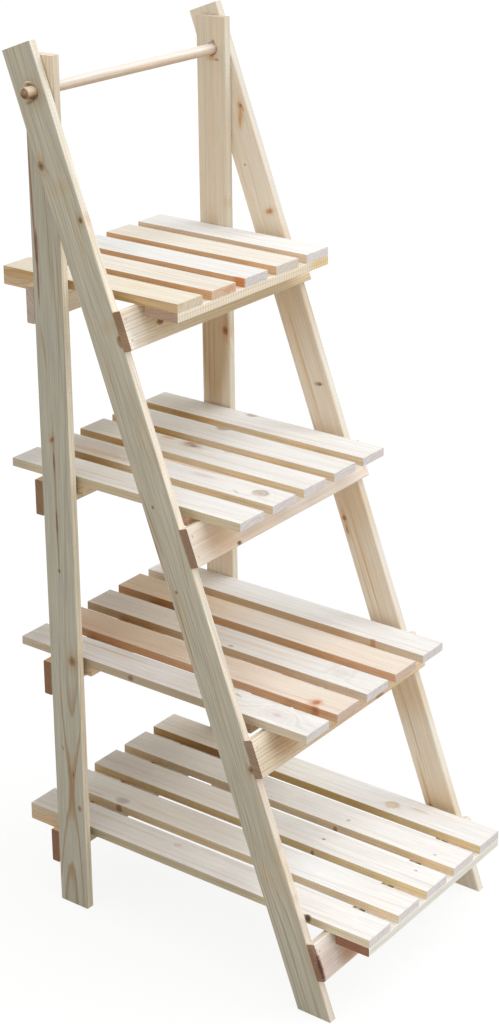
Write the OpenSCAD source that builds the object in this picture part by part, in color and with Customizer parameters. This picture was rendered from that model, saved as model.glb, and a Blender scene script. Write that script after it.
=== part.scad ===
// Folding ladder stand for plants: two lath frames crossed on one dowel, with four loose slatted shelves.
// Millimetres, +Z up. The front frame leans back to -Y at its feet. The origin is on the floor, under the
// middle of the stand's bounding box.

/* [Frames] */
// Width over the outer faces of the front legs
frame_w = 360; // [300:1:600]
// Height of the dowel above the floor
pivot_z = 1070; // [1000:1:1150]
// Lean of the front legs from the vertical, in degrees
front_lean = 20.9; // [19:0.1:22]
// Lean of the rear legs from the vertical, in degrees, with the feet towards the front
rear_lean = 0.9; // [0:0.1:1.5]
// How far the front legs stand above the dowel, along the leg
front_top = 55; // [30:1:90]
// How far the rear legs stand above the dowel, along the leg
rear_top = 41; // [25:1:80]
// Heights of the four rail tops above the floor, from the top shelf down
tier_z = [832, 586, 341, 99]; // [80:1:860]

/* [Laths] */
// Thickness of the planed lath that legs, rails and battens are cut from
board_t = 12; // [10:0.5:14]
// Width of a leg
leg_w = 45; // [36:0.5:48]
// Height of a front rail
front_rail_h = 48; // [36:0.5:52]
// Height of a rear rail
rear_rail_h = 46; // [36:0.5:52]
// Width of a batten under the slats
batten_w = 48; // [30:0.5:48]
// Width of a slat
slat_w = 46.5; // [30:0.5:60]
// Thickness of a slat
slat_t = 11; // [8:0.5:14]
// Size of the bevel planed along every long edge
arris = 1; // [0.4:0.1:1.5]

/* [Shelves] */
// Width of a shelf over its outer slats
shelf_w = 303; // [240:1:303]
// Slats in a shelf
slat_count = 5; // [3:1:5]
// How far each shelf's slats reach past its front rail, from the top shelf down
front_overhang = [59, 56, 57, 57]; // [50:1:70]
// How far each shelf's slats reach past its rear rail, from the top shelf down
rear_overhang = [53, 51, 52, 52]; // [50:1:70]
// How far each loose shelf lies to the right of the middle, from the top shelf down
shelf_shift = [3.6, 0.5, 2.5, 3.6]; // [-3.8:0.1:3.8]
// Shelves whose battens lie outside the rails, so that the frames can't spread: 1 outside, 0 inside
batten_outside = [1, 0, 0, 1]; // [0:1:1]
// Play between an inside batten and the front rail, from the top shelf down
front_play = [0, 8, 11.5, 0]; // [0:0.5:20]
// Play between an inside batten and the rear rail
rear_play = 4; // [1:0.5:20]

/* [Pivot] */
// Diameter of the dowel
dowel_d = 14; // [10:0.5:18]
// How far the dowel stands out of each front leg
dowel_out = 13; // [2:1:30]
// How far the front legs' holes are drilled ahead of the middle of the leg
front_hole_shift = 4.4; // [0:0.1:8]
// How far the rear legs' holes are drilled ahead of the middle of the leg
rear_hole_shift = 1; // [0:0.1:3]
// Gap between a rear leg and the front leg beside it
side_gap = 0.5; // [0.3:0.1:2]
// Gap round the dowel in the front legs, which turn on it
running_gap = 0.08; // [0.05:0.01:0.1]
// Gap round the dowel in the rear legs, where it is glued
glue_gap = 0.03; // [0.02:0.01:0.05]
// How much wider each dowel hole has broken out at its mouth, all round
mouth_gap = 1.6; // [0.5:0.1:2.5]
// Depth of the broken-out mouth
mouth_depth = 2; // [0.5:0.1:3]
// How far the mouths of the front legs' holes have slipped, along Y and Z of the leg
front_mouth_slip = [-1, -0.8]; // [-1.5:0.1:1.5]
// How far the mouths of the rear legs' holes have slipped, along Y and Z of the leg
rear_mouth_slip = [-1, 0.7]; // [-1.5:0.1:1.5]

/* [Nails] */
// Length of a rail nail
rail_nail_l = 30; // [20:1:40]
// Length of a slat nail, driven up through the batten
slat_nail_l = 20; // [15:0.5:21]
// Diameter of a nail's shank
nail_d = 1.8; // [1.2:0.1:2.5]
// Diameter of a nail's flat head
nail_head_d = 3.4; // [2.6:0.1:4]
// Distance of a rail nail from the rail's long edge
nail_inset = 11.5; // [8:0.5:15]

/* [Hidden] */
$fn = 32;
left = -1;
right = 1;
tiers = len(tier_z);
last = tiers - 1;
pine = [0.93, 0.87, 0.74];
pine_dark = [0.86, 0.76, 0.60];
steel = [0.45, 0.43, 0.42];

// Local Y of the laths' faces, in the frames that turn with the legs about the dowel.
front_leg_y = front_hole_shift - leg_w / 2;
rear_leg_y = rear_hole_shift + leg_w / 2;
rear_w = frame_w - 2 * board_t - 2 * side_gap;
leg_reach = (pivot_z + leg_w) / cos(front_lean);

// Distance of each rail's top face from the dowel, along the leg, so that the slats lie on its top edge.
seat_gap = 0.02;
front_rail_s = [for (z = tier_z)
    (pivot_z + (board_t - front_leg_y - arris) * sin(front_lean) - z + seat_gap) / cos(front_lean)];
rear_rail_s = [for (z = tier_z)
    (pivot_z - (rear_leg_y + arris) * sin(rear_lean) - z + seat_gap) / cos(rear_lean)];

// Y of the rails' top corners, counted from the dowel.
front_outer = [for (s = front_rail_s) (front_leg_y - board_t) * cos(front_lean) - s * sin(front_lean)];
front_inner = [for (s = front_rail_s) front_leg_y * cos(front_lean) - s * sin(front_lean)];
rear_outer = [for (s = rear_rail_s) (rear_leg_y + board_t) * cos(rear_lean) - s * sin(rear_lean)];
rear_inner = [for (s = rear_rail_s) rear_leg_y * cos(rear_lean) - s * sin(rear_lean)];

// The bottom shelf reaches furthest forward and the top shelf furthest back.
pivot_y = (front_overhang[last] - front_outer[last] - rear_outer[0] - rear_overhang[0]) / 2;
shelf_front = [for (k = [0 : last]) pivot_y + front_outer[k] - front_overhang[k]];
shelf_rear = [for (k = [0 : last]) pivot_y + rear_outer[k] + rear_overhang[k]];
shelf_left = [for (shift = shelf_shift) shift - shelf_w / 2];
slat_pitch = (shelf_w - slat_w) / (slat_count - 1);

// Y where each batten starts.
front_batten_y = [for (k = [0 : last])
    batten_outside[k] ? shelf_front[k] : pivot_y + front_inner[k] + front_play[k]];
rear_batten_y = [for (k = [0 : last])
    (batten_outside[k] ? shelf_rear[k] : pivot_y + rear_inner[k] - rear_play) - batten_w];

// Nails: the head's thickness, the point's length, the gap round them, and their places.
nail_head_t = 0.9;
nail_tip = 3;
nail_gap = 0.05;
nail_x = frame_w / 2 - board_t / 2;
rear_nail_x = rear_w / 2 - board_t / 2;
slat_nail_dx = slat_w / 4;
slat_nail_dy = batten_w / 5;

// A lath's section with its four edges eased.
module eased_section(a, b)
    polygon([
        [arris, 0], [a - arris, 0], [a, arris], [a, b - arris],
        [a - arris, b], [arris, b], [0, b - arris], [0, arris]]);

// Laths that run along each axis, with one corner at the origin.
module lath_x(length, depth, height)
    rotate([90, 0, 90])
        linear_extrude(length)
            eased_section(depth, height);

module lath_y(width, length, height)
    translate([0, length, 0])
        rotate([90, 0, 0])
            linear_extrude(length)
                eased_section(width, height);

module lath_z(thick, depth, length)
    linear_extrude(length)
        eased_section(thick, depth);

// The frames that turn with the legs about the dowel.
module front_frame()
    translate([0, pivot_y, pivot_z])
        rotate([-front_lean, 0, 0])
            children();

module rear_frame()
    translate([0, pivot_y, pivot_z])
        rotate([-rear_lean, 0, 0])
            children();

// A nail along +Z with its head's face at the origin, as one revolved outline.
module nail(length)
    rotate_extrude()
        polygon([
            [0, 0], [nail_head_d / 2, 0], [nail_head_d / 2, nail_head_t], [nail_d / 2, nail_head_t],
            [nail_d / 2, length - nail_tip], [0, length]]);

// The hole that a nail fills: the head is driven flush.
module nail_hole(length)
    rotate_extrude()
        polygon([
            [0, -1], [nail_head_d / 2 + nail_gap, -1], [nail_head_d / 2 + nail_gap, nail_head_t],
            [nail_d / 2 + nail_gap, nail_head_t], [nail_d / 2 + nail_gap, length + nail_gap],
            [0, length + nail_gap]]);

// Two nails at each end of every rail, one near each long edge.
module at_front_nails(ks, sides)
    for (k = ks, side = sides, z = [nail_inset, front_rail_h - nail_inset])
        translate([side * nail_x, front_leg_y - board_t, -front_rail_s[k] - z])
            rotate([-90, 0, 0])
                children();

module at_rear_nails(ks, sides)
    for (k = ks, side = sides, z = [nail_inset, rear_rail_h - nail_inset])
        translate([side * rear_nail_x, rear_leg_y + board_t, -rear_rail_s[k] - z])
            rotate([90, 0, 0])
                children();

// Two nails, set on a diagonal, where a slat crosses a batten.
module at_slat_nails(k, slats)
    for (i = slats, y = [front_batten_y[k], rear_batten_y[k]], d = [-1, 1])
        translate([
            shelf_left[k] + i * slat_pitch + slat_w / 2 + d * slat_nail_dx,
            y + batten_w / 2 + d * slat_nail_dy,
            tier_z[k] - board_t])
            children();

// The hole across a leg for the dowel.
module dowel_hole(gap)
    rotate([0, 90, 0])
        cylinder(d = dowel_d + 2 * gap, h = 2 * frame_w, center = true);

// The mouth of a dowel hole, broken out by the drill on one face of a leg.
module dowel_mouth(face_x, slip)
    translate([face_x, slip[0], slip[1]])
        rotate([0, 90, 0])
            cylinder(d = dowel_d + 2 * mouth_gap, h = 2 * mouth_depth, center = true);

// Everything below the floor: it cuts the feet level.
module below_floor()
    translate([-frame_w, -2 * leg_reach, -leg_reach])
        cube([2 * frame_w, 4 * leg_reach, leg_reach]);

module front_leg(side)
    color(pine)
        difference() {
            front_frame()
                difference() {
                    translate([side * nail_x - board_t / 2, front_leg_y, -leg_reach])
                        lath_z(board_t, leg_w, leg_reach + front_top);
                    dowel_hole(running_gap);
                    dowel_mouth(side * frame_w / 2, front_mouth_slip);
                    at_front_nails([0 : last], [side])
                        nail_hole(rail_nail_l);
                }
            below_floor();
        }

module rear_leg(side)
    color(pine)
        difference() {
            rear_frame()
                difference() {
                    translate([side * rear_nail_x - board_t / 2, rear_leg_y - leg_w, -leg_reach])
                        lath_z(board_t, leg_w, leg_reach + rear_top);
                    dowel_hole(glue_gap);
                    dowel_mouth(side * (rear_w / 2 - board_t), rear_mouth_slip);
                    at_rear_nails([0 : last], [side])
                        nail_hole(rail_nail_l);
                }
            below_floor();
        }

// The dowel that both frames turn on, with its sawn ends eased.
module pivot_dowel()
    let (length = frame_w + 2 * dowel_out, r = dowel_d / 2)
        color(pine)
            translate([-length / 2, pivot_y, pivot_z])
                rotate([0, 90, 0])
                    rotate_extrude()
                        polygon([
                            [0, 0], [r - arris, 0], [r, arris], [r, length - arris],
                            [r - arris, length], [0, length]]);

// A front rail, nailed flat on the front edges of the front legs.
module front_rail(k)
    color(pine_dark)
        front_frame()
            difference() {
                translate([-frame_w / 2, front_leg_y - board_t, -front_rail_s[k] - front_rail_h])
                    lath_x(frame_w, board_t, front_rail_h);
                at_front_nails([k], [left, right])
                    nail_hole(rail_nail_l);
            }

// A rear rail, nailed flat on the rear edges of the rear legs.
module rear_rail(k)
    color(pine_dark)
        rear_frame()
            difference() {
                translate([-rear_w / 2, rear_leg_y, -rear_rail_s[k] - rear_rail_h])
                    lath_x(rear_w, board_t, rear_rail_h);
                at_rear_nails([k], [left, right])
                    nail_hole(rail_nail_l);
            }

// A slat, laid from front to back on the two rails.
module slat(k, i)
    color(pine)
        difference() {
            translate([shelf_left[k] + i * slat_pitch, shelf_front[k], tier_z[k]])
                lath_y(slat_w, shelf_rear[k] - shelf_front[k], slat_t);
            at_slat_nails(k, [i])
                nail_hole(slat_nail_l);
        }

// A batten across the underside of the slats. It hooks the shelf over a rail.
module batten(k, y)
    color(pine_dark)
        difference() {
            translate([shelf_left[k], y, tier_z[k] - board_t])
                lath_x(shelf_w, batten_w, board_t);
            at_slat_nails(k, [0 : slat_count - 1])
                nail_hole(slat_nail_l);
        }

module shelf_nails(k)
    color(steel)
        at_slat_nails(k, [0 : slat_count - 1])
            nail(slat_nail_l);

module front_frame_nails()
    color(steel)
        front_frame()
            at_front_nails([0 : last], [left, right])
                nail(rail_nail_l);

module rear_frame_nails()
    color(steel)
        rear_frame()
            at_rear_nails([0 : last], [left, right])
                nail(rail_nail_l);

front_leg(left);  // front_leg_left
front_leg(right);  // front_leg_right
rear_leg(left);  // rear_leg_left
rear_leg(right);  // rear_leg_right
pivot_dowel();
front_frame_nails();
rear_frame_nails();
for (k = [0 : last]) {
    front_rail(k);
    rear_rail(k);
    batten(k, front_batten_y[k]);
    batten(k, rear_batten_y[k]);
    shelf_nails(k);
    for (i = [0 : slat_count - 1])
        slat(k, i);
}
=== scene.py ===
# %% [markdown]
# # A folding ladder stand for plants
# The stand is made of planed softwood laths: two leaning frames that cross on a dowel, and four
# loose slatted shelves. Its shapes come from the packed CAD model, which is loaded as a fixed frame.
# This lesson gives every board its own wood: annual rings that run through the solid, knots where
# branches crossed the board, and end grain where the saw went across it.

# %% Load the frame
import math

import bpy
import numpy as np
from mathutils import Matrix, Vector


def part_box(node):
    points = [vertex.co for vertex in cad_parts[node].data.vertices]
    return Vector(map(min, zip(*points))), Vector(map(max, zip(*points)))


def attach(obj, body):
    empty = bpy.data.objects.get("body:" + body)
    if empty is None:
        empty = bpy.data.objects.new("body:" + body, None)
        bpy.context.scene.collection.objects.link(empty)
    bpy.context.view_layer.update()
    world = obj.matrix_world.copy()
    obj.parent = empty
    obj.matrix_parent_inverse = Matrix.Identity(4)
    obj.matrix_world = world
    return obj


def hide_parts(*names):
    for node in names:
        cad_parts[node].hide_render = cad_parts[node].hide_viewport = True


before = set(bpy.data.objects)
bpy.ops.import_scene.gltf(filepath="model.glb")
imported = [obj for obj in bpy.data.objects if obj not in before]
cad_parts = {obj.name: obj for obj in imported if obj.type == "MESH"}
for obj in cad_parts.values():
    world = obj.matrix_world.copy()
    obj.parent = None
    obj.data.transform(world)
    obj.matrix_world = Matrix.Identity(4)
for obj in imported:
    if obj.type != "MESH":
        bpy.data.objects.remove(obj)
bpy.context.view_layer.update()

MM = 0.001

# %% [markdown]
# ## Putting things into the scene
# Blender keeps an object and its data, such as a mesh, a lens or a lamp, apart. Every object made here
# stays at the origin, and a mesh's place is in its own points, as it is in the CAD model.
# A closed mesh needs its faces to point outwards. The sum below is six times the volume that the
# faces enclose, or a good part of it, and it turns negative when they point inwards.


# %% Object helpers
def new_object(name, data):
    """An object around this data, linked into the scene."""
    thing = bpy.data.objects.new(name, data)
    bpy.context.scene.collection.objects.link(thing)
    return thing


def new_mesh(name, points, faces, material):
    """A mesh of these points and faces, in one material."""
    mesh = bpy.data.meshes.new(name)
    mesh.from_pydata(points.tolist(), [], faces)
    mesh.materials.append(material)
    return mesh


def turned_outwards(points, faces):
    """The faces, each taken the other way round if together they point inwards."""
    a, b, c = (points[[face[k] for face in faces]] for k in range(3))
    volume = np.einsum("ij,ij->i", a - points.mean(0), np.cross(b - a, c - a)).sum()
    return faces if volume > 0 else [face[::-1] for face in faces]


print("the frame has", len(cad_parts), "nodes")

# %% [markdown]
# ## The camera
# The stand is seen from the front left, a little above its top. A camera is a place, three directions
# and a lens. The directions come from two angles and a slight roll. The picture is cropped off
# centre, so the lens is shifted by as much, which keeps upright lines as they are.

# %% Camera
AZIMUTH = math.radians(-54.292)
ELEVATION = math.radians(19.501)
ROLL = math.radians(0.285)
CAMERA_AT = Vector((-1.94460, -1.41655, 1.55235))
FOCAL_PIXELS = 2109.6
CENTRE_PIXEL = (270.68, 389.08)
PICTURE = (499, 1024)
SENSOR = 36.0  # mm
FAR = 100  # m


def camera_axes(azimuth, elevation, roll):
    """Right, up and back: back points from the object to the camera, and roll turns the other two."""
    back = Vector((
        math.sin(azimuth) * math.cos(elevation),
        -math.cos(azimuth) * math.cos(elevation),
        math.sin(elevation)))
    right = Vector((math.cos(azimuth), math.sin(azimuth), 0.0))
    up = back.cross(right)
    turn_c, turn_s = math.cos(roll), math.sin(roll)
    return turn_c * right + turn_s * up, turn_c * up - turn_s * right, back


lens = bpy.data.cameras.new("camera")
lens.sensor_fit = "AUTO"
lens.sensor_width = SENSOR
lens.lens = FOCAL_PIXELS / PICTURE[1] * SENSOR
lens.shift_x = (PICTURE[0] / 2 - CENTRE_PIXEL[0]) / PICTURE[1]
lens.shift_y = (CENTRE_PIXEL[1] - PICTURE[1] / 2) / PICTURE[1]
lens.clip_end = FAR
camera = new_object("camera", lens)
turned = Matrix(camera_axes(AZIMUTH, ELEVATION, ROLL)).transposed().to_4x4()
camera.matrix_world = Matrix.Translation(CAMERA_AT) @ turned
bpy.context.scene.camera = camera
print(f"camera: {lens.lens:.2f} mm lens, shift {lens.shift_x:.4f}, {lens.shift_y:.4f}")

# %% [markdown]
# ## Short names for shader nodes
# A material is a small graph of nodes. The helper below adds one node per call and gives back its
# output, so that a formula can be written nearly as it would be on paper.


# %% Node helper
class Graph:
    """Adds nodes to one tree. An argument is a socket to link, or a value to set on the input."""

    def __init__(self, tree):
        self.tree = tree

    def add(self, kind, inputs=(), **settings):
        node = self.tree.nodes.new(kind)
        for name, value in settings.items():
            setattr(node, name, value)
        for key, value in dict(inputs).items():
            self.feed(node.inputs[key], value)
        return node

    def feed(self, socket, value):
        if isinstance(value, bpy.types.NodeSocket):
            self.tree.links.new(value, socket)
        else:
            socket.default_value = value

    def math(self, operation, a, b=0.0, c=0.0, clamp=False):
        node = self.add("ShaderNodeMath", {0: a, 1: b, 2: c}, operation=operation, use_clamp=clamp)
        return node.outputs[0]

    def vector(self, operation, a, b=(0.0, 0.0, 0.0), scale=1.0):
        node = self.add("ShaderNodeVectorMath", {0: a, 1: b, 3: scale}, operation=operation)
        return node.outputs[1 if operation == "LENGTH" else 0]

    def parts(self, vector):
        """The three numbers of a vector."""
        return self.add("ShaderNodeSeparateXYZ", {0: vector}).outputs

    def sideways(self, across):
        """A vector that goes only across the board, by this number."""
        return self.add("ShaderNodeCombineXYZ", {1: across}).outputs[0]

    def mix(self, factor, a, b, blend="MIX"):
        node = self.add("ShaderNodeMix", {0: factor, 6: a, 7: b}, data_type="RGBA", blend_type=blend)
        return node.outputs[2]

    def step(self, value, low, high, out_low=0.0, out_high=1.0):
        node = self.add(
            "ShaderNodeMapRange", {0: value, 1: low, 2: high, 3: out_low, 4: out_high},
            interpolation_type="SMOOTHSTEP")
        return node.outputs[0]

    def noise(self, place, stretch, detail=1.0, roughness=0.5):
        """Noise of -0.5 to 0.5 whose grains have the size stretch = (along, across, through), in mm."""
        sized = self.vector("DIVIDE", place, stretch)
        node = self.add(
            "ShaderNodeTexNoise",
            {"Vector": sized, "Scale": 1.0, "Detail": detail, "Roughness": roughness})
        return self.math("SUBTRACT", node.outputs[0], 0.5)


print("a graph can add:", ", ".join(name for name in vars(Graph) if not name.startswith("_")))

# %% [markdown]
# ## Groups of nodes
# Every board needs the same formula with other numbers, so the formula is written once, as a node
# group. Its input sockets hold the numbers that change from board to board.


# %% Group helper
def new_group(name, inputs, outputs):
    """An empty node group with these sockets: (name, kind, value) each."""
    group = bpy.data.node_groups.new(name, "ShaderNodeTree")
    for label, kind, value in inputs:
        socket = group.interface.new_socket(label, in_out="INPUT", socket_type="NodeSocket" + kind)
        if value is not None:
            socket.default_value = value
    for label, kind in outputs:
        group.interface.new_socket(label, in_out="OUTPUT", socket_type="NodeSocket" + kind)
    graph = Graph(group)
    return group, graph, graph.add("NodeGroupInput").outputs, graph.add("NodeGroupOutput").inputs


print("groups before the first one is made:", len(bpy.data.node_groups))

# %% [markdown]
# ## Marks in the wood
# A knot, a resin streak and a stain are all soft ellipsoids in the board, and so are the painted shades and
# painted highlights. For a point, the way to the mark's middle is divided by the mark's half sizes, so a
# length of 1 is its border, and noise makes that border ragged. A skew leans the mark across the grain.
# Inside, the wood is multiplied by a tint. Around it the annual rings can be pushed aside, by a bell curve of
# the same length. Marks are chained: each adds to those before it, and their tints, stains and painted shade
# alike, go on together.

# %% Mark group
WHITE = (1, 1, 1, 1)
RAGGED_GRAIN = (11, 2.6, 5)  # mm
EULER = 2.718  # the base of the bell curve
BELL_FALL = -0.6

mark_group, g, given, result = new_group(
    "mark",
    [("Local", "Vector", None), ("Place", "Vector", None), ("Half", "Vector", (5, 4, 40)),
     ("Skew", "Float", 0.0), ("Soft", "Float", 0.3), ("Ragged", "Float", 0.4), ("Push", "Float", 0.0),
     ("Tint", "Color", WHITE), ("StainAndShade", "Color", WHITE), ("Swerve", "Float", 0.0)],
    [("StainAndShade", "Color"), ("Swerve", "Float")])
way = g.vector("SUBTRACT", given["Local"], given["Place"])
slide = g.math("MULTIPLY", g.parts(way)[0], given["Skew"])
way = g.vector("SUBTRACT", way, g.sideways(slide))
reach = g.vector("LENGTH", g.vector("DIVIDE", way, given["Half"]))
reach = g.math("MULTIPLY_ADD", g.noise(given["Local"], RAGGED_GRAIN, 2), given["Ragged"], reach)
outer, inner = g.math("ADD", 1.0, given["Soft"]), g.math("SUBTRACT", 1.0, given["Soft"])
inside = g.mix(g.step(reach, outer, inner), WHITE, given["Tint"])
g.feed(result["StainAndShade"], g.mix(1.0, given["StainAndShade"], inside, "MULTIPLY"))
bell = g.math("POWER", EULER, g.math("MULTIPLY", g.math("MULTIPLY", reach, reach), BELL_FALL))
g.feed(result["Swerve"], g.math("MULTIPLY_ADD", bell, given["Push"], given["Swerve"]))
print("a mark takes:", ", ".join(given.keys()[:-1]))

# %% [markdown]
# ## The annual rings
# A tree is a stack of cones, so the age of a point is its distance from the pith, the tree's middle.
# The board's own coordinates are used: along, across and through it, in millimetres. The distance
# from the pith, with a slow wander and the marks' push added, is divided into rings: pale early wood
# that darkens into a thin late band. Some years are drier, and their bands fainter. A flat sawn face
# cuts these shells into long arches, an edge cuts them into close lines, and an end shows them as
# arcs, all from the one formula.

# %% Rings of the pine group
NOWHERE = -1.0e5  # mm
SLOW_BEND, QUICK_BEND = (300, 60, 60), (45, 8, 8)  # mm
QUICK_DEPTH = 1.3  # mm
LATE_FULL, LATE_FADES = 0.88, 0.93  # shares of a ring

pine_group, g, given, result = new_group(
    "pine",
    [("Local", "Vector", None), ("Normal", "Vector", None), ("Pith", "Vector", (0, 10, 60)),
     ("Spacing", "Float", 3.0), ("Wander", "Float", 5.0), ("Contrast", "Float", 0.5),
     ("Even", "Float", 0.25), ("Year", "Float", 0.0), ("Start", "Float", 0.25),
     ("Chatter", "Float", 0.02), ("Fine", "Float", 0.35), ("Seed", "Vector", None),
     ("Slant", "Float", 0.0), ("Below", "Float", NOWHERE), ("Amber", "Color", None),
     ("Early", "Color", None), ("Late", "Color", None), ("Blush", "Color", None),
     ("Edge", "Color", None), ("End", "Color", None), ("StainAndShade", "Color", WHITE), ("Swerve", "Float", 0.0)],
    [("Color", "Color"), ("Roughness", "Float"), ("Height", "Float")])
place = g.vector("ADD", given["Local"], given["Seed"])
along = g.parts(given["Local"])[0]
drift = g.sideways(g.math("MULTIPLY", along, given["Slant"]))
from_pith = g.vector("SUBTRACT", g.vector("SUBTRACT", given["Local"], given["Pith"]), drift)
radius = g.vector("LENGTH", g.vector("MULTIPLY", from_pith, (0, 1, 1)))
slow = g.math("MULTIPLY", g.noise(place, SLOW_BEND, 1), g.math("MULTIPLY", given["Wander"], 2.0))
quick = g.math("MULTIPLY", g.noise(place, QUICK_BEND, 2), QUICK_DEPTH)
radius = g.math("ADD", g.math("ADD", radius, slow), g.math("ADD", quick, given["Swerve"]))
turn = g.math("DIVIDE", radius, given["Spacing"])
share = g.math("FRACT", turn)
late = g.math("MULTIPLY", g.step(share, given["Start"], LATE_FULL), g.step(share, 1.0, LATE_FADES))
year = g.add(
    "ShaderNodeTexWhiteNoise",
    {"W": g.math("ADD", g.math("FLOOR", turn), given["Year"])}, noise_dimensions="1D").outputs["Value"]
late = g.math("MULTIPLY", late, g.step(year, 0.0, 1.0, given["Even"], 1.0))
print("the pine group has", len(given) - 1, "inputs")

# %% [markdown]
# ## The colour of the wood
# Late wood is mixed over early wood, and more strongly on the edges and the ends. Low in a tree the
# heartwood turns the late wood amber. Over that come a slow blush, streaks and fibres that are long
# along the board and thin across it, and on the edges the faint even chatter of the planer's knives.

# %% Colour of the pine group
END_TURN, EDGE_TURN = (0.70, 0.85), (0.75, 0.90)  # how squarely a face looks along or across
END_DEPTH, EDGE_DEPTH = 1.2, 0.6
AMBER_FADE = 60.0  # mm
BLUSH_GRAIN, BLUSH_RANGE, BLUSH_SHARE = (110, 9, 9), (-0.02, 0.20), 0.8
STREAK_GRAIN, STREAK_DEPTH = (230, 4.5, 4.5), 0.26
FINE_GRAIN = (65, 1.7, 1.7)
FIBRE_GRAIN, FIBRE_DEPTH = (24, 1.1, 1.1), 0.15
FINE_DETAIL = (2, 0.6)  # finer noise on top of the first, twice, each 0.6 as strong
KNIFE_PITCH, KNIFE_GRAIN, KNIFE_JITTER = 4.9, (40, 6, 6), 3.0


def tinted(colour, tint):
    """The colour times the tint."""
    return g.mix(1.0, colour, tint, "MULTIPLY")


facing = g.parts(given["Normal"])
end = g.step(g.math("ABSOLUTE", facing[0]), *END_TURN)
edge = g.step(g.math("ABSOLUTE", facing[1]), *EDGE_TURN)
depth = g.math("MULTIPLY_ADD", end, END_DEPTH, g.math("MULTIPLY_ADD", edge, EDGE_DEPTH, 1.0))
grain = g.math("MULTIPLY", g.math("MULTIPLY", late, given["Contrast"]), depth, clamp=True)

brown = g.step(
    along, g.math("ADD", given["Below"], AMBER_FADE), g.math("SUBTRACT", given["Below"], AMBER_FADE))
colour = g.mix(grain, given["Early"], g.mix(brown, given["Late"], given["Amber"]))
blush = g.step(g.noise(place, BLUSH_GRAIN, 2), *BLUSH_RANGE)
colour = g.mix(g.math("MULTIPLY", blush, BLUSH_SHARE), colour, tinted(colour, given["Blush"]))

streaks = g.noise(place, STREAK_GRAIN, *FINE_DETAIL)
fine = g.noise(place, FINE_GRAIN, *FINE_DETAIL)
fibre = g.noise(place, FIBRE_GRAIN, *FINE_DETAIL)
bright = g.math("MULTIPLY_ADD", streaks, STREAK_DEPTH, 1.0)
bright = g.math("MULTIPLY_ADD", fine, given["Fine"], bright)
bright = g.math("MULTIPLY_ADD", fibre, FIBRE_DEPTH, bright)
waves = g.math("MULTIPLY", along, math.tau / KNIFE_PITCH)
tooth = g.math("SINE", g.math("MULTIPLY_ADD", g.noise(place, KNIFE_GRAIN), KNIFE_JITTER, waves))
knives = g.math("MULTIPLY", tooth, edge)
bright = g.math("MULTIPLY_ADD", knives, given["Chatter"], bright)

colour = g.vector("SCALE", colour, scale=bright)
colour = g.mix(edge, colour, tinted(colour, given["Edge"]))
colour = g.mix(end, colour, tinted(colour, given["End"]))
g.feed(result["Color"], tinted(colour, given["StainAndShade"]))
print("the colour takes", len(pine_group.nodes), "nodes")

# %% [markdown]
# ## The touch of the wood
# Planed wood is dull, sawn end grain is duller, and wherever a mark darkens the wood, as a knot, resin or a
# painted shade does, it shines a little and stands a little proud. The late bands stand a trifle proud,
# because the soft early wood is pressed down by the planer. A bump is enough for relief of less than a tenth
# of a millimetre.

# %% Roughness and height of the pine group
PLANED, FIBRE_ROUGH, END_ROUGH, MARK_ROUGH = 0.58, 0.25, 0.18, -0.15
LATE_HEIGHT, FIBRE_HEIGHT, KNIFE_HEIGHT, MARK_HEIGHT = 0.35, 0.9, 4.0, 0.5

# dark is how far the marks darken the wood, painted shade included.
dark = g.math("SUBTRACT", 1.0, g.add("ShaderNodeSeparateColor", {0: given["StainAndShade"]}).outputs[0])
rough = g.math("MULTIPLY_ADD", fibre, FIBRE_ROUGH, PLANED)
rough = g.math("MULTIPLY_ADD", end, END_ROUGH, rough)
g.feed(result["Roughness"], g.math("MULTIPLY_ADD", dark, MARK_ROUGH, rough, clamp=True))
height = g.math("MULTIPLY_ADD", late, LATE_HEIGHT, g.math("MULTIPLY", fibre, FIBRE_HEIGHT))
height = g.math("MULTIPLY_ADD", knives, g.math("MULTIPLY", given["Chatter"], KNIFE_HEIGHT), height)
g.feed(result["Height"], g.math("MULTIPLY_ADD", dark, MARK_HEIGHT, height))
print("wood: groups", mark_group.name, "and", pine_group.name)

# %% [markdown]
# ## Where each board's wood lies
# A pattern in a solid needs the board's own directions. The laths of the shelves lie along the
# axes, but the legs lean, so their along and across turn with them. A Mapping node set to Texture
# does the inverse turn, and its scale of a thousandth makes the result millimetres.

# %% Board directions
PIVOT = Vector((0.0, 187.555, 1070.0))  # mm
FRONT_LEAN, REAR_LEAN = math.radians(20.9), math.radians(0.9)


def directions(along, across):
    """A right-handed turn whose columns are along, across and through."""
    along, across = Vector(along), Vector(across)
    return Matrix((along, across, along.cross(across))).transposed()


def leaning(lean):
    """Up the leg, and across it to the rear."""
    up_leg = Vector((0, math.sin(lean), math.cos(lean)))
    to_rear = Vector((0, math.cos(lean), -math.sin(lean)))
    return up_leg, to_rear


def centre_mm(node):
    """The middle of a node's box."""
    low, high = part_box(node)
    return (low + high) / 2 / MM


def lie_of(node):
    """Origin in mm and directions of the board that is this node."""
    lean = REAR_LEAN if node.startswith("rear") else FRONT_LEAN
    up_leg, to_rear = leaning(lean)
    if "_leg_" in node:
        return Vector((centre_mm(node).x, PIVOT.y, PIVOT.z)), directions(up_leg, to_rear)
    if "_rail_" in node:
        return centre_mm(node), directions((1, 0, 0), up_leg)
    if "_slat_" in node:
        return centre_mm(node), directions((0, 1, 0), (1, 0, 0))
    return centre_mm(node), directions((1, 0, 0), (0, 1, 0))


print("the near front leg's wood runs along", [round(x, 3) for x in lie_of("front_leg_left")[1].col[0]])
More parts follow.
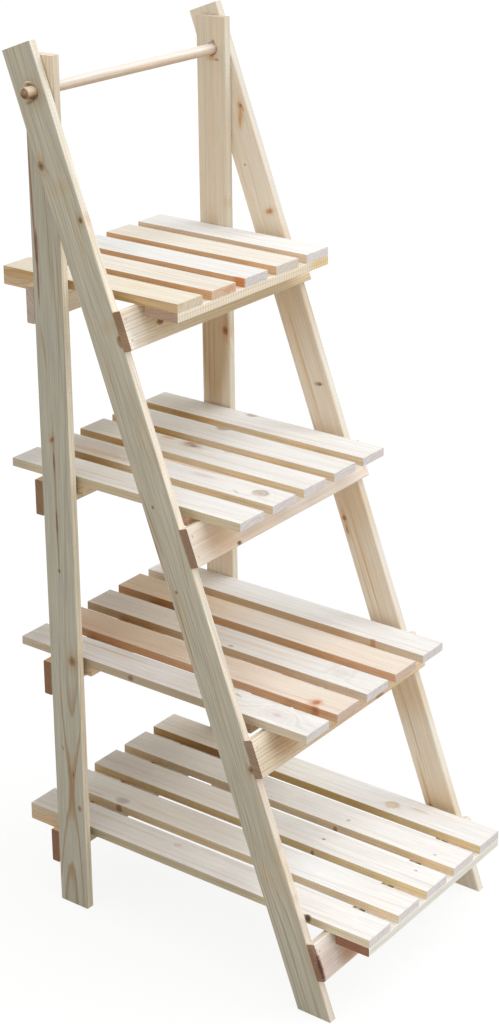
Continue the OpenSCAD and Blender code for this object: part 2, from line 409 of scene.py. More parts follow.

# %% [markdown]
# ## The kinds of wood
# A kind of wood is three colours: early wood, late wood, and the blush that drifts over it. They are those of
# freshly planed spruce and pine, and grey and ash are the same woods where their faces have greyed, painted
# darker besides as painted shade for faces that lie in the shade. Tints multiply them: the sawn edges are
# warmer, the ends greyer, and the marks are named after what they look like.

# %% Colours of the wood
WOODS = {
    "white": ((0.885, 0.88, 0.865), (0.76, 0.69, 0.62), (0.99, 0.96, 0.94)),
    "cream": ((0.87, 0.83, 0.75), (0.72, 0.60, 0.46), (1.00, 0.96, 0.91)),
    "straw": ((0.87, 0.82, 0.70), (0.70, 0.55, 0.38), (1.00, 0.95, 0.89)),
    "biscuit": ((0.845, 0.75, 0.59), (0.68, 0.52, 0.35), (1.00, 0.95, 0.89)),
    "honey": ((0.885, 0.79, 0.65), (0.74, 0.58, 0.42), (1.00, 0.94, 0.88)),
    "pink": ((0.87, 0.77, 0.67), (0.76, 0.58, 0.45), (1.00, 0.94, 0.89)),
    "tan": ((0.81, 0.70, 0.545), (0.62, 0.47, 0.32), (1.00, 0.94, 0.87)),
    # Greyed wood, painted darker as painted shade for the shaded faces of the near legs.
    "grey": ((0.565, 0.52, 0.405), (0.38, 0.32, 0.23), (1.02, 0.95, 0.86)),
    "ash": ((0.49, 0.463, 0.372), (0.44, 0.40, 0.31), (1.03, 0.97, 0.90)),
}
AMBER = (0.39, 0.26, 0.14)
EDGE = (0.94, 0.79, 0.57)
END = (0.82, 0.79, 0.81)

BARK = (0.22, 0.14, 0.10)
KNOT = (0.60, 0.37, 0.25)
OLIVE = (0.52, 0.44, 0.34)
PIN = (0.40, 0.36, 0.31)
RUST = (0.88, 0.62, 0.42)
HALO = (0.95, 0.82, 0.68)
GLOW = (0.98, 0.92, 0.82)
RESIN = (0.56, 0.29, 0.22)
LINE = (0.84, 0.73, 0.60)
STREAK = (0.88, 0.74, 0.60)
ASH = (0.70, 0.64, 0.64)
HAZE = (0.86, 0.80, 0.79)
HAIR = (0.93, 0.87, 0.79)
CLEAR = (1.0, 1.0, 1.0)
print("kinds of wood:", ", ".join(WOODS))

# %% [markdown]
# ## Words for the marks
# All marks go into the one node group, but it helps to write them in a maker's words: a streak is long and
# thin, and a knot is three marks in one another. Painted shading lies over the whole width of a board: a
# painted shade, or a painted highlight where its tint is over 1. Sizes are half sizes in millimetres.

# %% Kinds of marks
THROUGH_ALL = 40.0  # mm: a half depth that reaches through any board
ACROSS_ALL = 60  # mm: a half width that reaches past both edges of any board


def mark(along, across, half, tint, through=0.0, deep=THROUGH_ALL, soft=0.3, ragged=0.5, push=0.0,
         skew=0.0):
    """One mark: its middle, its half sizes (along, across), and its tint. Deep goes through."""
    return dict(Place=(along, across, through), Half=(*half, deep), Tint=(*tint, 1), Soft=soft,
                Ragged=ragged, Push=push, Skew=skew)


def streak(along, across, half_length, half_width, tint, soft=0.6, **more):
    """A long thin mark."""
    return mark(along, across, (half_length, half_width), tint, soft=soft, **more)


def painted_shading(along, half_length, tint, soft=0.7, wide=ACROSS_ALL, **more):
    """A soft painted shade over the whole width of a board, in its middle, or a painted highlight where the
    tint is over 1.
    """
    return mark(along, 0, (half_length, wide), tint, soft=soft, **more)


def knot(along, across, size, strength=1.0, skew=0.0, push=1.0, tint=KNOT):
    """A warm halo, a brown knot and its dark heart, all round one middle."""
    def pale(colour):
        return tuple(1 - strength * (1 - c) for c in colour)
    return [
        mark(along, across, (3.0 * size, 1.9 * size), pale(HALO), soft=0.6, push=push * size),
        mark(along, across, (1.3 * size, size), pale(tint), soft=0.35, skew=skew),
        mark(along, across, (0.5 * size, 0.5 * size), pale(tint), soft=0.6)]


print("a knot is", len(knot(0, 0, 1)), "marks")

# %% [markdown]
# ## One board's wood
# A board is a kind of wood with the numbers of the pine group: how dark the late wood is, how far
# across and through the board the tree's middle lay, and how far apart the rings are. The rest has
# values that suit most boards. A tint makes the whole board paler or darker.

# %% Board helper
BOARDS = {}


def board(wood, contrast=0.5, pith=(8, 55), spacing=3.2, wander=5.0, even=0.25, chatter=0.02,
          edge=EDGE, end=END, marks=(), tint=1.0, slant=0.0, below=NOWHERE, amber=AMBER,
          year=0.0, start=0.25, fine=0.35):
    """The marks and the values of the pine group's sockets. Pith is (across, through) in mm."""
    early, late, blush = WOODS[wood]
    early, late = (tuple(tint * c for c in colour) for colour in (early, late))
    colours = {"Early": early, "Late": late, "Blush": blush, "Edge": edge, "End": end, "Amber": amber}
    return {
        "marks": list(marks), "Pith": (0.0, *pith), "Contrast": contrast, "Spacing": spacing,
        "Wander": wander, "Even": even, "Chatter": chatter, "Slant": slant, "Below": below,
        "Year": year, "Start": start, "Fine": fine,
        **{name: (*colour, 1) for name, colour in colours.items()}}


print("a plain white board:", board("white")["Early"])

# %% [markdown]
# ## The near front leg
# Distances along a leg are from the dowel, negative downwards, and across from the dowel towards the rear.
# This leg's flat face is greyish, and its wood is painted darker as painted shade, while the edge tint paints
# its narrow faces over half as bright again, a painted highlight. It has two olive knots near the top, hair
# lines between them, broken bark on its front edge, and amber late wood low down. The last marks lie only in
# its outer skin: a dark ring round the dowel, torn wood, and a painted shadow below the dowel. Two thin marks
# make the front edge a little cooler at the top and darker below.

# %% Near front leg
# The grey wood is painted shade on the flat face, and the edge tint of about 1.6 is a painted highlight on
# the narrow faces.
BOARDS["front_leg_left"] = board(
    "grey", 0.44, (85, 21), 4.6, 15, 0.1, edge=(1.56, 1.53, 1.64), end=(0.95, 0.92, 0.88),
    below=-580, amber=(0.27, 0.21, 0.14), fine=0.75, marks=[
        # Two olive knots near the top.
        *knot(-83, 21, 4.4, 0.95, tint=OLIVE, push=1.4),
        *knot(-155, -13, 3.0, 1.0, tint=OLIVE, push=1.4),
        # Hair lines between them and below.
        streak(-220, -10.5, 46, 1.3, HAIR, skew=0.14), streak(-85, -11, 36, 1.2, HAIR, skew=0.09),
        streak(-380, -10, 70, 1.3, HAIR, skew=0.11), streak(-400, -2, 80, 1.2, HAIR, skew=0.1),
        # Two bright places, and two pin knots.
        mark(-113, 0, (8, 17), GLOW, soft=0.9), mark(-282, -6, (7, 13), GLOW, soft=0.9),
        mark(-498, 11, (2.2, 1.8), PIN, soft=0.5), mark(-603, 15, (2.2, 1.8), PIN, soft=0.5),
        # Broken bark on the front edge.
        mark(-300, -17, (8, 5), (0.62, 0.46, 0.34), soft=0.25, ragged=1.4),
        mark(-298, -17.5, (5, 1.6), (0.66, 0.58, 0.5), soft=0.4, ragged=1.0, skew=0.5),
        # A knot low down, and the lines above it.
        *knot(-828, -16, 3.8, 1.0, tint=OLIVE, push=2.0),
        streak(-520, 20, 46, 1.4, (0.8, 0.64, 0.5), soft=0.3, skew=0.06),
        streak(-536, 25, 36, 1.5, (0.7, 0.54, 0.44), soft=0.3, skew=0.03),
        streak(-640, 20, 60, 1.3, LINE, soft=0.3, skew=-0.03),
        streak(-560, -10, 50, 1.1, LINE, soft=0.3, skew=-0.08),
        # The rings part at the foot.
        mark(-960, -12, (34, 20), (1.02, 0.98, 0.93), soft=0.7, push=9),
        mark(-964, 11, (6, 4), (1.1, 0.99, 0.9), soft=0.7),
        # A dark ring round the dowel, part torn wood and part painted shade in the gap round it, then the
        # torn wood, a dark spot above, and a painted shadow below the dowel.
        mark(-1, 1, (9.6, 9.4), (0.56, 0.43, 0.32), through=6, deep=3, soft=0.2, ragged=1.0),
        mark(-3, -2, (18, 15), (0.93, 0.86, 0.77), through=6, deep=5, soft=0.6, ragged=1.2),
        mark(9.6, 2.1, (1.4, 1.8), (0.5, 0.42, 0.3), through=7, deep=3, soft=0.5),
        mark(-10.6, 8, (1.8, 6), (0.62, 0.5, 0.37), through=6, deep=3, soft=0.6),
        # The front edge, a little cooler at the top and darker below.
        mark(-20, -19, (170, 3), (0.97, 1.01, 1.05), soft=0.6),
        streak(-960, -18.7, 380, 0.9, (0.92, 0.9, 0.9), soft=0.2, ragged=0.1)])
print("near front leg:", len(BOARDS["front_leg_left"]["marks"]), "marks")

# %% [markdown]
# ## The near rear leg
# This leg was sawn close to the pith. A wide clear mark pushes its rings apart low down, and so makes the
# hourglass between two arches. Year picks the run of strong and faint rings. Thin streaks of resin follow the
# grain above. Its wood is painted darker as painted shade, its edges and top end are painted bright again,
# and the top of the outer face is painted paler, a painted highlight.

# %% Near rear leg
# Ash is painted shade on the outer face; the edge and end tints of about 1.7 are a painted highlight on the
# narrow faces and the top end.
BOARDS["rear_leg_left"] = board(
    "ash", 0.95, (-48.3, 33.1), 5.0, 0.5, 0.12, edge=(1.68, 1.63, 1.6), end=(1.7, 1.64, 1.73),
    slant=-0.05, below=-765, year=8709, start=0.62, fine=0.6, marks=[
        # This one parts the rings into the hourglass.
        mark(-900, -3, (84, 400), CLEAR, soft=0.1, ragged=0.15, push=7.5),
        # Resin, which follows the grain.
        streak(-490, 2.5, 76, 1.6, (0.8, 0.62, 0.48), soft=0.5),
        streak(-535, 2.5, 17, 1.4, RESIN, soft=0.5), streak(-455, 3, 13, 1.2, RESIN, soft=0.5),
        *knot(-426, 4.5, 3.0, 0.9, skew=-0.5, tint=(0.66, 0.46, 0.3)),
        streak(-312, 11, 24, 1.6, (0.82, 0.66, 0.56), skew=0.11),
        streak(-226, 15.2, 30, 1.5, RESIN, soft=0.5), streak(-187, 15.8, 22, 2.4, RESIN, soft=0.4),
        streak(-128, 19.4, 64, 1.5, (0.62, 0.36, 0.3), soft=0.5, skew=0.035),
        streak(-260, -11, 90, 1.1, LINE, soft=0.5, skew=0.05),
        streak(-220, -16, 70, 1.0, STREAK, soft=0.5, skew=0.06),
        streak(-165, -3, 70, 1.0, LINE, soft=0.5, skew=0.05),
        *knot(-717, -13, 5.2, 0.9, tint=(0.66, 0.49, 0.33), push=0.2),
        mark(-598, 2, (2.6, 2.0), PIN, soft=0.5), streak(-575, 2, 28, 1.2, (0.84, 0.68, 0.56)),
        # Olive specks in the arches.
        mark(-925, -15, (4, 3), OLIVE, soft=0.5, push=1.5),
        mark(-878, -7, (4, 1.6), OLIVE, soft=0.5), mark(-845, 9, (3, 1.2), OLIVE, skew=0.5),
        mark(-900, -2, (34, 4), (0.9, 0.8, 0.7), soft=0.7),
        # A painted highlight on the top of the outer face, grain lines in it, and painted shade on the upper
        # front edge.
        mark(30, -13, (40, 14), (1.86, 1.71, 1.64), through=6, deep=1.5, soft=0.25),
        streak(28, -12, 30, 1.3, (0.88, 0.8, 0.74)), streak(24, -17, 30, 1.1, (0.9, 0.82, 0.76)),
        streak(-50, -21.5, 115, 1.5, (0.88, 0.83, 0.8), soft=0.5)])
print("near rear leg:", len(BOARDS["rear_leg_left"]["marks"]), "marks")

# %% [markdown]
# ## The far legs
# The far legs show their inner faces, which catch the light. They are honey and tan, with small warm
# knots and faint lines. The broad shades are where a shelf keeps the light off.

# %% Far legs
BOARDS["rear_leg_right"] = board(
    "tan", 0.25, (60, 32), 3.4, 6, edge=(1.0, 1.09, 1.18), fine=0.2, marks=[
        mark(-196, -19, (7, 3), (0.95, 0.88, 0.78), soft=0.6, push=2),
        *knot(-368, -15, 4.6, 0.95, tint=(0.6, 0.43, 0.3)),
        streak(-350, -17, 28, 2, (0.85, 0.7, 0.54)), streak(-420, 12, 70, 1.6, STREAK),
        streak(-400, 4, 60, 1.0, LINE), streak(-410, 19, 60, 1.4, LINE),
        # Under the top shelf the face is painted darker and browner: a painted shade.
        mark(-350, 4, (130, 23), (0.7, 0.59, 0.46), soft=0.25, ragged=0.1),
        # Torn wood round the dowel.
        mark(-11, 1, (4, 7), (0.9, 0.74, 0.6), soft=0.6),
        mark(-12.8, -8, (1.5, 3.4), (0.6, 0.5, 0.42), soft=0.5),
        mark(9.5, -3, (2.4, 2.4), (0.56, 0.46, 0.38), soft=0.5),
        mark(-7.5, 0, (2.6, 3), (0.66, 0.5, 0.38), soft=0.6)])
BOARDS["front_leg_right"] = board(
    "honey", 0.28, (44, 44), 3.4, 7, edge=(0.93, 0.98, 1.05), fine=0.25, marks=[
        # A knot that was cut lengthwise.
        mark(-88, -5, (17, 5.5), (0.91, 0.74, 0.58), soft=0.6, push=5, skew=-0.3),
        mark(-79, -9, (6, 3), (0.8, 0.6, 0.46), soft=0.6, skew=0.3),
        mark(-93, -3, (10, 2.4), (0.84, 0.68, 0.55), soft=0.6, skew=-0.4),
        mark(-78, -9.5, (2, 1.6), (0.55, 0.4, 0.3), soft=0.5),
        mark(-151, 11, (1.6, 1.4), (0.45, 0.38, 0.32), soft=0.5),
        # Two small knots.
        mark(-216, -6, (6, 9), HALO, soft=0.6, push=3),
        mark(-216, -6, (3.2, 5), (0.68, 0.47, 0.34), soft=0.5),
        mark(-446, -2, (3, 5.5), (0.66, 0.5, 0.38), soft=0.5, push=3, skew=0.7),
        mark(-447, -4, (1.6, 3), (0.55, 0.42, 0.32), soft=0.5, skew=0.5),
        # Knots and lines on the rear edge.
        mark(-632, 20, (22, 2.5), STREAK, soft=0.6, push=2),
        mark(-626, 20, (3.4, 3), KNOT, soft=0.5), mark(-642, 21, (6, 1.4), (0.7, 0.5, 0.38)),
        streak(-700, 8, 75, 1.6, (0.86, 0.72, 0.54)), streak(-700, 17, 70, 1.2, LINE),
        streak(-1000, 18, 36, 2.2, STREAK), mark(-1031, 19, (6, 3), KNOT, soft=0.6),
        streak(-920, 11, 60, 1.2, LINE), streak(-410, 12, 80, 2.4, (0.92, 0.8, 0.64), soft=0.7),
        # Where the shelves keep the light off.
        painted_shading(-598, 42, (0.9, 0.81, 0.7), soft=1.0), painted_shading(-318, 60, (0.83, 0.73, 0.62), soft=1.0),
        painted_shading(-870, 30, (0.9, 0.8, 0.68), soft=1.0), painted_shading(-1030, 30, (0.94, 0.86, 0.76), soft=1.0)])
print("far legs:", sum(len(BOARDS[node]["marks"]) for node in ("rear_leg_right", "front_leg_right")), "marks")

# %% [markdown]
# ## The top shelf
# Slats are counted from the left and lettered A to E. Distances along a slat are from its middle
# towards the rear, across from its middle to the right, and through from its middle downwards. The
# first slat is straw coloured with strong grain, and the sawn sides between the slats are reddish.

# %% Shelf 1
RED = (0.90, 0.60, 0.36)
SLATS = {}
# The soft marks over a slat's whole width are painted shade towards the rear, away from the light.
SLATS[1] = [
    # A
    board(
        "straw", 0.75, (60, 22), 2.7, edge=(0.81, 0.62, 0.38), end=(0.88, 0.82, 0.76), marks=[
            mark(-53, 5, (14, 8), (1.0, 0.95, 0.9), soft=0.6), painted_shading(120, 40, (0.91, 0.89, 0.87))]),
    # B
    board(
        "cream", 0.65, (-10, 26), 2.6, edge=RED, end=(0.88, 0.7, 0.58), marks=[
            streak(-50, 2, 34, 1.6, HAZE),
            mark(-128, 10, (8, 14), (0.94, 0.76, 0.62), through=0, deep=5)]),
    # C
    board(
        "white", 0.45, edge=RED, marks=[
            mark(-126, -24, (9, 3.4), (0.92, 0.58, 0.36), soft=0.5),
            painted_shading(110, 60, (0.92, 0.94, 0.94))]),
    # D
    board(
        "cream", 0.3, tint=1.03, edge=(0.9, 0.64, 0.42), marks=[
            painted_shading(110, 60, (0.92, 0.9, 0.86), wide=40)]),
    # E
    board(
        "white", 0.3, tint=1.06, edge=(0.94, 0.79, 0.62), marks=[
            painted_shading(130, 70, (0.91, 0.91, 0.9), wide=40)])]
print("shelf 1:", len(SLATS[1]), "slats")

# %% [markdown]
# ## The second shelf
# These slats are nearly white. One knot is a pale disc in a dark ring, and the three beside one
# another are the same branch, cut by three slats of one plank.

# %% Shelf 2
# The soft marks over a slat's whole width are painted shade, deepest towards the rear, away from the light.
SLATS[2] = [
    # A
    board(
        "white", 0.55, tint=1.03, edge=(0.78, 0.68, 0.48), marks=[
            streak(-140, -7, 30, 1.5, HAZE), streak(45, -3, 45, 1.6, (0.88, 0.85, 0.74)),
            painted_shading(40, 85, (0.87, 0.84, 0.8), soft=0.6, wide=40), painted_shading(166, 26, (0.76, 0.76, 0.73))]),
    # B
    board(
        "white", 0.55, tint=1.03, marks=[
            # A dark ring, a pale disc in it, and its heart.
            mark(-140, 2, (10.5, 9.0), (0.56, 0.5, 0.47), push=6),
            mark(-140, 1, (7.5, 6.2), (1.34, 1.32, 1.26)),
            mark(-140, 1, (3.4, 2.6), (0.78, 0.72, 0.66), soft=0.5),
            mark(-113, -12, (6, 1.4), ASH, skew=0.4),
            painted_shading(118, 70, (0.63, 0.57, 0.5), soft=0.6, wide=40),
            mark(100, -9, (55, 6), (0.98, 0.82, 0.68), soft=0.6, ragged=1.0),
            streak(-20, 20, 60, 1.4, RUST), mark(-50, 6, (16, 4), HAZE, soft=0.7)]),
    # C
    board(
        "white", 0.5, tint=1.03, marks=[
            # The branch that three slats share, cut here through its middle.
            mark(23, 15, (14, 8), (0.62, 0.52, 0.49), soft=0.4, push=5),
            mark(20, 14, (5, 3), (0.66, 0.54, 0.48)),
            # A painted highlight on the knot.
            mark(17, 18, (5, 1.6), (1.35, 1.3, 1.26), soft=0.4),
            mark(30, 19, (8, 4), RUST, soft=0.5), mark(-28, 21, (6, 3), HAZE),
            mark(64, 18, (9, 4), RUST, soft=0.6), painted_shading(110, 95, (0.8, 0.76, 0.66), wide=40),
            painted_shading(170, 32, (0.72, 0.71, 0.68), soft=0.8)]),
    # D
    board(
        "white", 0.5, tint=1.03, marks=[
            mark(28, 22, (10, 7), (0.62, 0.55, 0.51), soft=0.4, push=4),
            painted_shading(115, 85, (0.73, 0.7, 0.64), wide=40)]),
    # E
    board(
        "white", 0.5, tint=1.03, marks=[
            mark(27, 20, (8, 6), (0.6, 0.54, 0.5), soft=0.4, push=4),
            painted_shading(140, 64, (0.65, 0.61, 0.53), wide=40)])]
print("shelf 2:", len(SLATS[2]), "slats")

# %% [markdown]
# ## The third shelf
# White and pink slats take turns here. The first has a wide swirl round a hidden knot, which is a
# nearly colourless mark with a strong push, and the second a brown knot at its front corner.

# %% Shelf 3
# The soft marks over a slat's whole width are painted shade, deepest towards the rear, away from the light.
SLATS[3] = [
    # A
    board(
        "white", 0.7, (8, 50), 2.3, edge=(0.86, 0.76, 0.6), marks=[
            # The swirl.
            mark(-162, -1, (20, 12), (0.95, 0.92, 0.93), soft=0.5, push=10),
            mark(-164, -2, (5, 4), HAZE, soft=0.6), mark(-94, 12, (10, 1.6), ASH, skew=0.25),
            painted_shading(60, 120, (0.93, 0.9, 0.89), soft=0.6, wide=40),
            streak(110, 11, 60, 2, LINE, soft=0.7), painted_shading(-54, 40, (0.87, 0.85, 0.82)),
            painted_shading(214, 34, (0.77, 0.74, 0.7), soft=0.8),
            mark(43, -23, (4, 2.5), (0.46, 0.38, 0.32), through=0, deep=4, soft=0.5)]),
    # B
    board(
        "pink", 0.55, edge=(0.84, 0.6, 0.42), end=(0.74, 0.67, 0.66), marks=[
            mark(-190, -23, (5, 2), (0.76, 0.58, 0.46), soft=0.6),
            # The brown knot at the front corner.
            mark(-183, -14, (9, 9), (0.88, 0.64, 0.5), soft=0.6),
            mark(-184, -12, (4.5, 5.5), (0.7, 0.44, 0.32), soft=0.5, push=4),
            painted_shading(150, 150, (0.78, 0.68, 0.55)), painted_shading(-62, 45, (0.93, 0.9, 0.87), soft=0.8),
            painted_shading(165, 50, (0.84, 0.78, 0.74), soft=0.8)]),
    # C
    board(
        "white", 0.55, edge=(0.9, 0.8, 0.66), marks=[
            mark(-165, 5, (14, 11), (0.91, 0.89, 0.89), soft=0.6, push=8),
            mark(-10, -16, (4, 2.6), (0.62, 0.57, 0.57)),
            mark(-45, 4, (70, 4), (1.0, 0.91, 0.82), soft=0.6), painted_shading(160, 110, (0.75, 0.67, 0.57)),
            painted_shading(-10, 100, (0.92, 0.89, 0.86), soft=0.8),
            painted_shading(205, 60, (0.77, 0.74, 0.73), soft=0.9)]),
    # D
    board(
        "pink", 0.45, tint=1.02, edge=(0.88, 0.62, 0.45), end=(0.74, 0.66, 0.63), marks=[
            streak(-60, -15, 22, 1.4, (0.88, 0.82, 0.78)), painted_shading(165, 110, (0.73, 0.63, 0.48)),
            painted_shading(-30, 60, (0.92, 0.96, 1.0), soft=0.8),
            painted_shading(205, 62, (0.78, 0.77, 0.75), soft=0.9)]),
    # E
    board(
        "white", 0.45, edge=(0.92, 0.82, 0.66), marks=[
            mark(-146, -23, (4, 2.5), (0.82, 0.6, 0.46), soft=0.5),
            painted_shading(40, 100, (0.95, 0.95, 0.94)), painted_shading(165, 42, (0.7, 0.63, 0.54), soft=0.8)])]
print("shelf 3:", len(SLATS[3]), "slats")

# %% [markdown]
# ## The lowest shelf
# The longest slats are painted paler by their tints, a painted highlight on the lowest shelf, with pin knots
# in the third and the fourth. Through is -5.5 on the top face, so a mark there with little depth leaves the
# underside clear.

# %% Shelf 4
# The soft marks over a slat's whole width are painted shade, deepest towards the rear, and one is a painted
# highlight near the front of the second slat.
SLATS[4] = [
    # A
    board(
        "white", 0.5, tint=1.08, edge=(0.93, 0.82, 0.62), marks=[
            mark(46, 8, (5, 3.5), HAZE, soft=0.5, push=4),
            streak(120, 8, 70, 1.8, (0.9, 0.86, 0.76)),
            mark(-178, -23, (4, 2.5), BARK, through=-2.0, deep=6, soft=0.5),
            painted_shading(140, 150, (0.84, 0.81, 0.78)), painted_shading(-64, 36, (0.9, 0.89, 0.88), soft=0.8),
            painted_shading(240, 75, (0.76, 0.74, 0.7), soft=0.9)]),
    # B
    board(
        "white", 0.45, tint=1.08, edge=(0.99, 0.83, 0.63), marks=[
            mark(172, -13, (10, 7), ASH, soft=0.4, push=4),
            mark(215, -18, (16, 2.5), (0.9, 0.78, 0.72), soft=0.6),
            mark(170, -23, (5, 3), (0.55, 0.38, 0.32), through=1.0, deep=6),
            painted_shading(130, 140, (0.84, 0.8, 0.74)), painted_shading(225, 75, (0.79, 0.78, 0.76), soft=0.9),
            # A painted highlight near the front.
            painted_shading(-130, 40, (1.07, 1.1, 1.14), soft=0.9)]),
    # C
    board(
        "white", 0.5, tint=1.08, edge=(0.98, 0.83, 0.52), marks=[
            # Pin knots that lie open on top only.
            mark(-96, 1.5, (2.6, 1.8), (0.42, 0.38, 0.34), through=-5.5, deep=5),
            mark(-230, 9, (2.4, 1.8), (0.62, 0.6, 0.56), through=-5.5, deep=5),
            painted_shading(150, 150, (0.82, 0.78, 0.72)), painted_shading(245, 90, (0.62, 0.58, 0.54), soft=0.9),
            mark(-95.5, -23, (2.6, 1.6), (0.42, 0.32, 0.25), through=3.9, deep=5),
            painted_shading(-64, 34, (0.91, 0.91, 0.9), soft=0.8)]),
    # D
    board(
        "white", 0.45, tint=1.08, edge=(0.97, 0.79, 0.58), marks=[
            mark(-96, -6, (2.6, 2.0), (0.55, 0.52, 0.48), through=-5.5, deep=5),
            mark(-230, -10, (2.6, 1.8), (0.66, 0.64, 0.62), through=-5.5, deep=5),
            mark(-87, -23, (3.4, 1.6), (0.52, 0.36, 0.28), through=3.4, deep=5),
            painted_shading(150, 160, (0.79, 0.76, 0.71)), painted_shading(235, 90, (0.67, 0.65, 0.6), soft=0.9),
            painted_shading(64, 38, (0.9, 0.89, 0.89), soft=0.8)]),
    # E
    board(
        "white", 0.4, tint=1.03, edge=(0.97, 0.8, 0.5), marks=[
            mark(-121, -4, (10, 8.5), (0.8, 0.68, 0.53), push=5),
            mark(-120, -5, (5, 4), (1.1, 1.1, 1.08), soft=0.5),
            mark(-158, 5, (13, 3), (0.9, 0.78, 0.66), soft=0.6),
            painted_shading(110, 120, (0.97, 0.94, 0.88), soft=0.8), painted_shading(198, 106, (0.62, 0.56, 0.49))])]
print("shelf 4:", len(SLATS[4]), "slats")

# %% [markdown]
# ## The sides of the slats
# A slat's left side faces the next slat, and little light comes down between them. Where the front ends stand
# clear the sides are bright. A path tracer works that out by itself, and a thin mark in the skin of the side
# adds painted shade on top, warm and yellowish, darker still towards the rear.

# %% Sides of the slats
LEFT_SIDE, SKIN = -23.25, 0.9  # mm
SIDE_SHADE = {
    "3A": (0.72, 0.67, 0.60), "3C": (0.84, 0.72, 0.58), "3D": (0.80, 0.75, 0.60),
    "3E": (0.82, 0.70, 0.55), "4A": (0.68, 0.67, 0.60), "4B": (0.90, 0.90, 0.84),
    "4C": (0.74, 0.68, 0.60), "4D": (0.86, 0.88, 0.88), "4E": (0.66, 0.57, 0.38)}
SIDE_MIDDLE, SIDE_HALF = 30, 155  # mm along the slat
REAR_SHADE = [
    ("2B 2C 2D 2E", 130, 75, (0.80, 0.66, 0.42)), ("3C 3D", 170, 85, (0.82, 0.74, 0.52)),
    ("4E", 205, 105, (0.66, 0.54, 0.36))]


def shade_side(slat, middle, half, tint, soft):
    """A mark in the left side of one slat, which is named by its shelf's number and its letter."""
    SLATS[int(slat[0])]["ABCDE".index(slat[1])]["marks"].append(
        mark(middle, LEFT_SIDE, (half, SKIN), tint, soft=soft, ragged=0.2))


for slat, tint in SIDE_SHADE.items():
    shade_side(slat, SIDE_MIDDLE, SIDE_HALF, tint, 0.3)
for slats, middle, half, tint in REAR_SHADE:
    for slat in slats.split():
        shade_side(slat, middle, half, tint, 0.5)
print("sides shaded:", len(SIDE_SHADE) + sum(len(row[0].split()) for row in REAR_SHADE))

# %% [markdown]
# ## The boards in order
# A board's place in the list decides where in the noise its wood lies, so the order is part of the
# design. After each shelf's slats come the rear rail and the rear batten, of which little is seen.

# %% Slats, rear rails and rear battens
REAR_RAIL_ENDS = ((0.72, 0.70, 0.76), (0.38, 0.26, 0.18), (0.36, 0.22, 0.15), (0.36, 0.21, 0.15))
for tier, row in SLATS.items():
    for number, wood in enumerate(row, 1):
        BOARDS[f"shelf_{tier}_slat_{number}"] = wood
    BOARDS[f"rear_rail_{tier}"] = board(
        "tan", 0.6, (40, 40), 2.6, tint=0.94, end=REAR_RAIL_ENDS[tier - 1])
    BOARDS[f"shelf_{tier}_batten_rear"] = board("cream", 0.5, end=(0.80, 0.62, 0.44))
print(len(BOARDS), "boards so far")

# %% [markdown]
# ## The front rails
# Along a rail is to the right, and across is up its sloping face. The sawn ends at the near side are dark
# brown. Under each shelf the face is in a warm shade, which wide soft marks paint darker still, as painted
# shade.

# %% Front rails
WHITE_EDGE = (1.0, 1.0, 0.98)
BOARDS["front_rail_1"] = board(
    "biscuit", 0.85, (45, 40), 3.2, 7, 0.5, edge=(1.03, 1.11, 1.24), end=(0.41, 0.285, 0.2), marks=[
        # A dark knot beside the leg.
        mark(-119, -4, (6.5, 3.2), (0.34, 0.2, 0.13), through=6, deep=8, soft=0.5, push=6),
        mark(-170, 0, (16, 30), (1.03, 1.08, 1.22), soft=0.7),
        mark(-180, -14, (9, 14), (1.22, 1.28, 1.36), through=0, deep=14, soft=0.6),
        # Painted shade on the strip below the batten and in the corner under the shelf.
        mark(60, -22, (180, 14), (0.84, 0.76, 0.62), soft=0.5),
        mark(-112, 6, (26, 20), (0.84, 0.7, 0.54), soft=0.6)])
BOARDS["front_rail_2"] = board(
    "pink", 0.18, (30, 45), 3.0, 4, edge=WHITE_EDGE, end=(0.38, 0.275, 0.2), marks=[
        mark(-99, -21, (4, 2.6), BARK, soft=0.5),
        # Painted shade under the shelf and on the lower strip.
        mark(-125, 0, (32, 24), (0.85, 0.72, 0.56), soft=0.7),
        mark(-60, -18, (60, 12), (0.93, 0.86, 0.8), soft=0.6)])
BOARDS["front_rail_3"] = board(
    "biscuit", 0.85, (50, 30), 3.6, 6, 0.3, tint=0.96, edge=(1.03, 1.11, 1.24),
    end=(0.47, 0.37, 0.33), marks=[
        # The right part is painted lighter, a painted highlight, and a knot on the lower edge.
        painted_shading(110, 90, (1.06, 1.09, 1.13), wide=40), mark(72, -22, (9, 3), KNOT, soft=0.4),
        mark(-170, 20, (14, 6), (1.08, 1.08, 1.1), soft=0.6),
        # Painted shade on the strip below the batten and in the corner under the shelf.
        mark(60, -20, (190, 14), (0.84, 0.72, 0.58), soft=0.6),
        mark(-118, 4, (32, 20), (0.71, 0.53, 0.37), soft=0.6)])
BOARDS["front_rail_4"] = board(
    "cream", 0.3, (45, 40), 2.8, 4, edge=WHITE_EDGE, end=(0.5, 0.36, 0.26), marks=[
        mark(-168, -10, (20, 22), (0.87, 0.76, 0.75), soft=0.7),
        mark(-122, -12, (21, 14), (0.66, 0.42, 0.29), soft=0.7),
        # The torn and darkened end.
        mark(-180, -6, (3.5, 19), (0.22, 0.09, 0.07), through=8, deep=5.5, soft=0.5, ragged=0.8),
        mark(-180, 10, (3, 14), (0.8, 0.62, 0.52), through=-3, deep=4, soft=0.6, ragged=1.0),
        mark(-180, -16, (3, 13), (0.8, 0.68, 0.6), through=-2, deep=9, soft=0.6),
        # Painted shade under the shelf.
        mark(-118, 10, (26, 12), (0.8, 0.66, 0.52), soft=0.7)])
print("front rails:", [name for name in BOARDS if name.startswith("front_rail")])

# %% [markdown]
# ## The front battens and the dowel
# Only the first batten shows its whole front, with the planer's chatter on it. The dowel is turned, so it has
# no edge. Its top is painted brighter and its underside browner, a painted highlight and a painted shade, and
# its near end is painted darker, with a painted shade under it and a dark line near its top.

